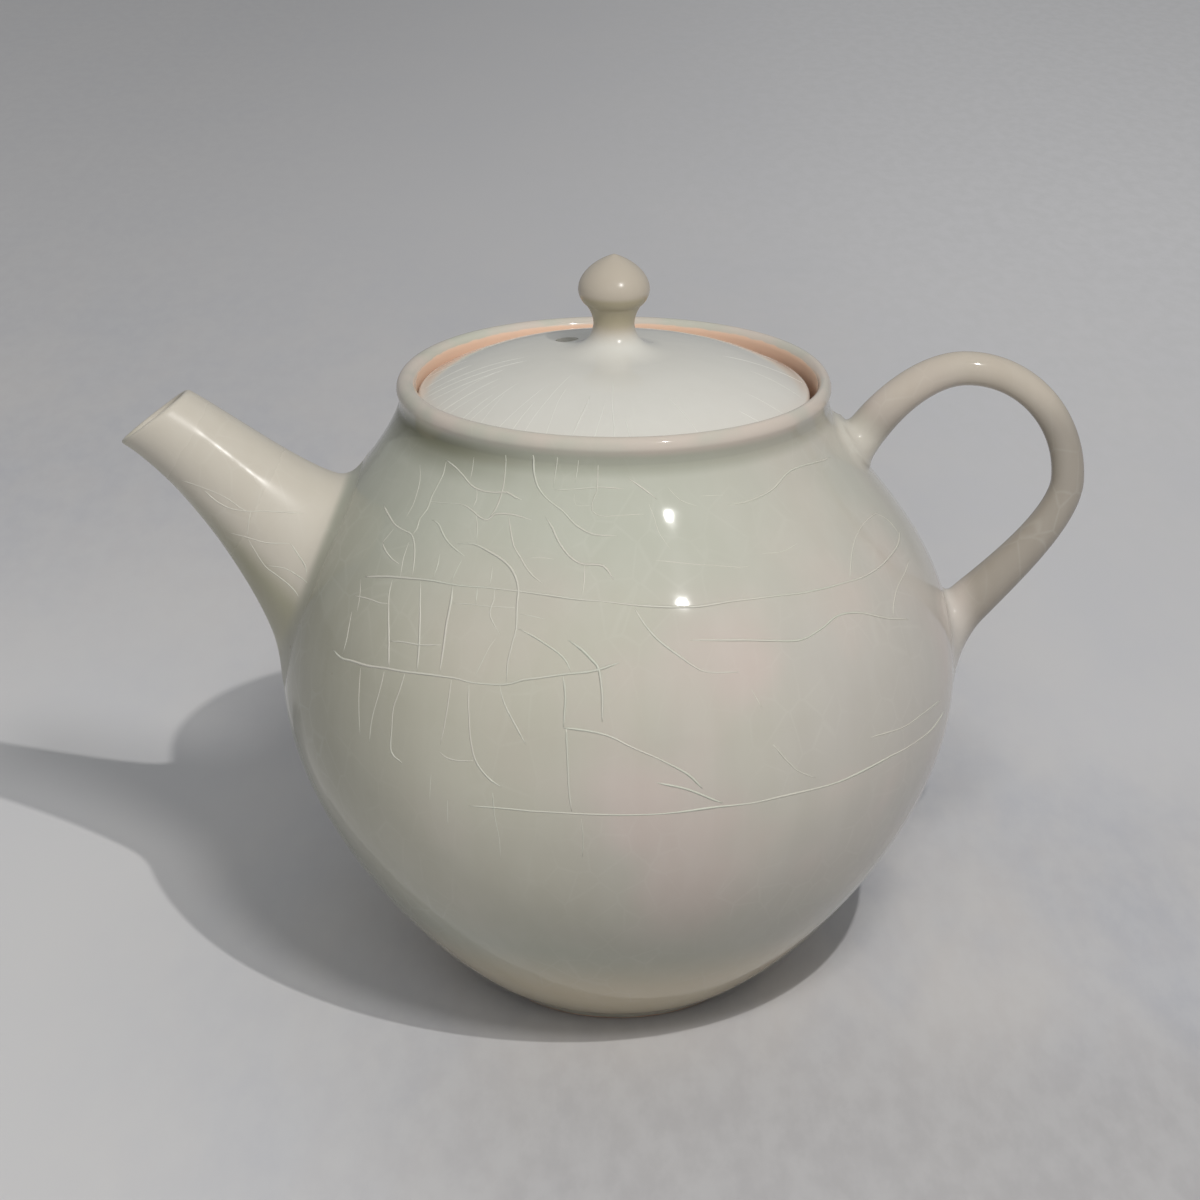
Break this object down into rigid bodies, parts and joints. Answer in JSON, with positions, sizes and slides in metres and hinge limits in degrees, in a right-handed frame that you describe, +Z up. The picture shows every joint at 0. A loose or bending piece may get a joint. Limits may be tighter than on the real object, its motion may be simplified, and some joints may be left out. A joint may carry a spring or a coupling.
{
  "type": "ceramic teapot",
  "caption": "Round-bellied glazed ceramic teapot with a trumpet spout, a looped coil handle and a lift-off domed lid.",
  "frame": {"origin": "middle of the footprint of the whole teapot, on the surface that the foot ring stands on", "axes": "+Z up, the spout points to -X and the handle to +X"},
  "size_m": [0.169, 0.12, 0.1351],
  "materials": {
    "crackle_glaze": "glossy pale grey-green crackle glaze with pink blushes",
    "lid_glaze": "glossy pale glaze, a little lighter",
    "handle_glaze": "glossy glaze, thinner and browner over the coil",
    "bare_clay": "unglazed, matt, fired orange"
  },
  "bodies": {
    "pot": {"pot_base": "crackle_glaze", "pot_belly": "crackle_glaze", "pot_upper_belly": "crackle_glaze", "pot_shoulder": "crackle_glaze", "foot_ring": "bare_clay", "lid_seat": "bare_clay", "spout": "crackle_glaze", "strainer": "crackle_glaze", "handle": "handle_glaze", "handle_upper_wad": "crackle_glaze", "handle_lower_wad": "crackle_glaze"},
    "cover": {"lid": "lid_glaze", "lid_flange": "bare_clay", "lid_knob": "lid_glaze"}
  },
  "joints": [
    {"name": "lid_lift", "type": "slide", "parent": "pot", "child": "cover", "axis": [0, 0, 1], "range_m": [0, 0.06]}
  ]
}
